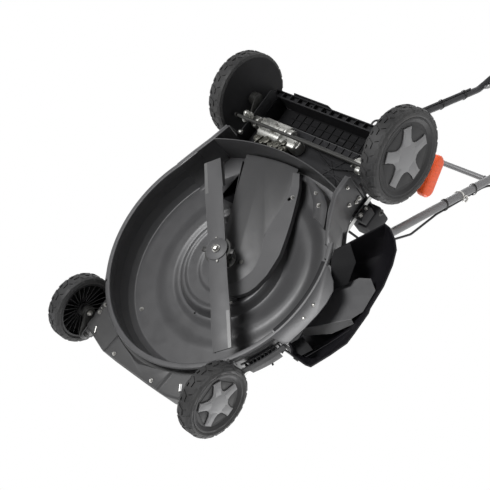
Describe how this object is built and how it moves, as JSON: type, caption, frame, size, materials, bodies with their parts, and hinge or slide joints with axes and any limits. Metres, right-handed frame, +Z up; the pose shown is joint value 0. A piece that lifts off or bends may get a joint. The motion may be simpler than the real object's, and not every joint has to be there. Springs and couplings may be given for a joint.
{
  "type": "lawn mower",
  "caption": "Walk-behind petrol lawn mower: steel cutting deck with blade, side and rear discharge, engine, height-adjustable wheels and folding tube handle.",
  "frame": {"origin": "middle of the bounding box on the ground", "axes": "+X to the mower's right, +Y forward, the way it travels, +Z up"},
  "size_m": [0.7466, 1.5832, 1.001],
  "materials": {
    "deck_paint": "dark grey satin paint on pressed steel",
    "black_plastic": "black moulded plastic, fine grain",
    "grey_plastic": "mid grey moulded plastic",
    "tyre": "dusty dark grey tyre",
    "zinc_steel": "zinc plated steel",
    "blade_steel": "black coated steel, ground cutting edges",
    "cast_aluminium": "as cast aluminium",
    "orange_plastic": "orange moulded plastic",
    "tube_grey": "grey powder coat on steel tube",
    "tube_black": "black powder coat on steel tube",
    "belt_rubber": "black belt rubber",
    "cable_black": "black cable sheath",
    "muffler_steel": "heat darkened steel",
    "engine_plastic": "dark grey moulded plastic"
  },
  "bodies": {
    "deck": {"deck_shell": "deck_paint", "front_apron": "deck_paint", "front_fairing": "black_plastic", "belt_cover": "deck_paint", "rear_tunnel": "black_plastic", "rear_panel": "black_plastic", "drive_belt": "belt_rubber", "gearbox": "cast_aluminium", "side_flap_rod": "zinc_steel", "engine_block": "cast_aluminium", "engine_shroud": "engine_plastic", "fuel_tank": "engine_plastic", "air_filter_cover": "black_plastic", "muffler": "muffler_steel", "handle_bracket_left": "black_plastic", "handle_bracket_right": "black_plastic", "lower_handle": "tube_grey", "stop_cable_lower": "cable_black", "drive_cable_lower": "cable_black"},
    "crank": {"crankshaft": "zinc_steel", "crank_pulley": "zinc_steel", "flywheel": "cast_aluminium", "blade_adapter": "zinc_steel", "blade": "blade_steel", "blade_bolt": "zinc_steel"},
    "gear_input": {"gearbox_pulley": "black_plastic"},
    "axle_drive": {"drive_shaft": "zinc_steel"},
    "lever": {"height_lever": "zinc_steel", "lever_grip": "orange_plastic"},
    "rear_arm_l": {"rear_arm_left": "zinc_steel"},
    "rear_arm_r": {"rear_arm_right": "zinc_steel"},
    "front_arm_l": {"front_arm_left": "zinc_steel"},
    "front_arm_r": {"front_arm_right": "zinc_steel"},
    "link_l": {"height_link_left": "zinc_steel"},
    "link_r": {"height_link_right": "zinc_steel"},
    "upper": {"upper_handle": "tube_black", "stop_cable_upper": "cable_black", "drive_cable_upper": "cable_black"},
    "knob_l": {"fold_knob_left": "black_plastic"},
    "knob_r": {"fold_knob_right": "black_plastic"},
    "stop_lever": {"stop_bail": "tube_black"},
    "drive_lever": {"drive_bail": "tube_grey"},
    "starter_grip": {"recoil_handle": "black_plastic"},
    "tank_cap": {"fuel_cap": "black_plastic"},
    "oil_cap": {"oil_filler_cap": "black_plastic"},
    "flap_side": {"side_flap": "deck_paint"},
    "chute": {"side_chute": "black_plastic"},
    "flap_rear": {"rear_flap": "black_plastic"},
    "front_wheel_l": {"front_tyre_left": "tyre", "front_rim_left": "grey_plastic", "front_hub_cap_left": "grey_plastic"},
    "front_wheel_r": {"front_tyre_right": "tyre", "front_rim_right": "grey_plastic", "front_hub_cap_right": "grey_plastic"},
    "rear_wheel_l": {"rear_tyre_left": "tyre", "rear_rim_left": "grey_plastic", "rear_hub_cap_left": "grey_plastic"},
    "rear_wheel_r": {"rear_tyre_right": "tyre", "rear_rim_right": "grey_plastic", "rear_hub_cap_right": "grey_plastic"}
  },
  "joints": [
    {"name": "crank_spin", "type": "hinge", "parent": "deck", "child": "crank", "pos_m": [-0.07025, 0.41764, 0.0875], "axis": [0, 0, 1], "continuous": true},
    {"name": "gear_input_spin", "type": "hinge", "parent": "deck", "child": "gear_input", "pos_m": [-0.11025, 0.08764, 0.178], "axis": [0, 0, 1], "continuous": true},
    {"name": "drive_shaft_spin", "type": "hinge", "parent": "deck", "child": "axle_drive", "pos_m": [-0.07025, 0.06864, 0.1403], "axis": [1, 0, 0], "continuous": true},
    {"name": "height_lever_turn", "type": "hinge", "parent": "deck", "child": "lever", "pos_m": [0.13335, 0.00964, 0.152], "axis": [1, 0, 0], "range_deg": [-25, 0]},
    {"name": "rear_arm_l_swing", "type": "hinge", "parent": "deck", "child": "rear_arm_l", "pos_m": [-0.27875, 0.06864, 0.1403], "axis": [1, 0, 0], "range_deg": [-58.4, 0]},
    {"name": "front_arm_l_swing", "type": "hinge", "parent": "deck", "child": "front_arm_l", "pos_m": [-0.27875, 0.75264, 0.1123], "axis": [1, 0, 0], "range_deg": [-58.4, 0]},
    {"name": "link_l_slide", "type": "slide", "parent": "deck", "child": "link_l", "axis": [0, 1, 0], "range_m": [0, 0.04391]},
    {"name": "rear_wheel_l_roll", "type": "hinge", "parent": "rear_arm_l", "child": "rear_wheel_l", "pos_m": [-0.34725, 0.02164, 0.114], "axis": [1, 0, 0], "continuous": true},
    {"name": "front_wheel_l_roll", "type": "hinge", "parent": "front_arm_l", "child": "front_wheel_l", "pos_m": [-0.33575, 0.70564, 0.086], "axis": [1, 0, 0], "continuous": true},
    {"name": "rear_arm_r_swing", "type": "hinge", "parent": "deck", "child": "rear_arm_r", "pos_m": [0.13825, 0.06864, 0.1403], "axis": [1, 0, 0], "range_deg": [-58.4, 0]},
    {"name": "front_arm_r_swing", "type": "hinge", "parent": "deck", "child": "front_arm_r", "pos_m": [0.13825, 0.75264, 0.1123], "axis": [1, 0, 0], "range_deg": [-58.4, 0]},
    {"name": "link_r_slide", "type": "slide", "parent": "deck", "child": "link_r", "axis": [0, 1, 0], "range_m": [0, 0.04391]},
    {"name": "rear_wheel_r_roll", "type": "hinge", "parent": "rear_arm_r", "child": "rear_wheel_r", "pos_m": [0.20675, 0.02164, 0.114], "axis": [1, 0, 0], "continuous": true},
    {"name": "front_wheel_r_roll", "type": "hinge", "parent": "front_arm_r", "child": "front_wheel_r", "pos_m": [0.19525, 0.70564, 0.086], "axis": [1, 0, 0], "continuous": true},
    {"name": "side_flap_lift", "type": "hinge", "parent": "deck", "child": "flap_side", "pos_m": [0.21975, 0.42164, 0.186], "axis": [0, 1, 0], "range_deg": [-60, 0], "stiffness_Nm_per_rad": 0.5, "springref_deg": 28.65},
    {"name": "chute_pull", "type": "slide", "parent": "deck", "child": "chute", "axis": [0.9336, 0, -0.3584], "range_m": [0, 0.05]},
    {"name": "rear_flap_lift", "type": "hinge", "parent": "deck", "child": "flap_rear", "pos_m": [-0.08025, -0.04436, 0.357], "axis": [1, 0, 0], "range_deg": [-75, 0], "stiffness_Nm_per_rad": 0.3, "springref_deg": 28.65},
    {"name": "handle_fold", "type": "hinge", "parent": "deck", "child": "upper", "pos_m": [-0.07025, -0.27836, 0.624], "axis": [1, 0, 0], "range_deg": [-140, 0]},
    {"name": "fold_knob_l_turn", "type": "hinge", "parent": "deck", "child": "knob_l", "pos_m": [-0.28325, -0.27836, 0.624], "axis": [1, 0, 0], "range_deg": [-720, 0]},
    {"name": "fold_knob_r_turn", "type": "hinge", "parent": "deck", "child": "knob_r", "pos_m": [0.14275, -0.27836, 0.624], "axis": [1, 0, 0], "range_deg": [0, 720]},
    {"name": "stop_bail_close", "type": "hinge", "parent": "upper", "child": "stop_lever", "pos_m": [-0.07025, -0.64053, 0.8837], "axis": [1, 0, 0], "range_deg": [0, 22.5], "stiffness_Nm_per_rad": 1, "springref_deg": -40.11},
    {"name": "drive_bail_close", "type": "hinge", "parent": "upper", "child": "drive_lever", "pos_m": [-0.07025, -0.6171, 0.87498], "axis": [1, 0, 0], "range_deg": [-22, 0], "stiffness_Nm_per_rad": 0.5, "springref_deg": 22.92},
    {"name": "starter_pull", "type": "slide", "parent": "deck", "child": "starter_grip", "axis": [0, -1, 0], "range_m": [0, 0.09], "stiffness_N_per_m": 60, "springref_m": -0.05},
    {"name": "tank_cap_turn", "type": "hinge", "parent": "deck", "child": "tank_cap", "pos_m": [-0.13025, 0.27764, 0.39], "axis": [0, 0, 1], "range_deg": [0, 120]},
    {"name": "oil_cap_turn", "type": "hinge", "parent": "deck", "child": "oil_cap", "pos_m": [0.02375, 0.35164, 0.26], "axis": [0, 0, 1], "range_deg": [0, 180]}
  ],
  "couplings": [
    {"joint": "gear_input_spin", "follows": "crank_spin", "ratio": 0.8333},
    {"joint": "rear_arm_l_swing", "follows": "height_lever_turn", "ratio": 2.336},
    {"joint": "front_arm_l_swing", "follows": "height_lever_turn", "ratio": 2.336},
    {"joint": "link_l_slide", "follows": "height_lever_turn", "m_per_rad": -0.10063},
    {"joint": "rear_arm_r_swing", "follows": "height_lever_turn", "ratio": 2.336},
    {"joint": "front_arm_r_swing", "follows": "height_lever_turn", "ratio": 2.336},
    {"joint": "link_r_slide", "follows": "height_lever_turn", "m_per_rad": -0.10063}
  ]
}
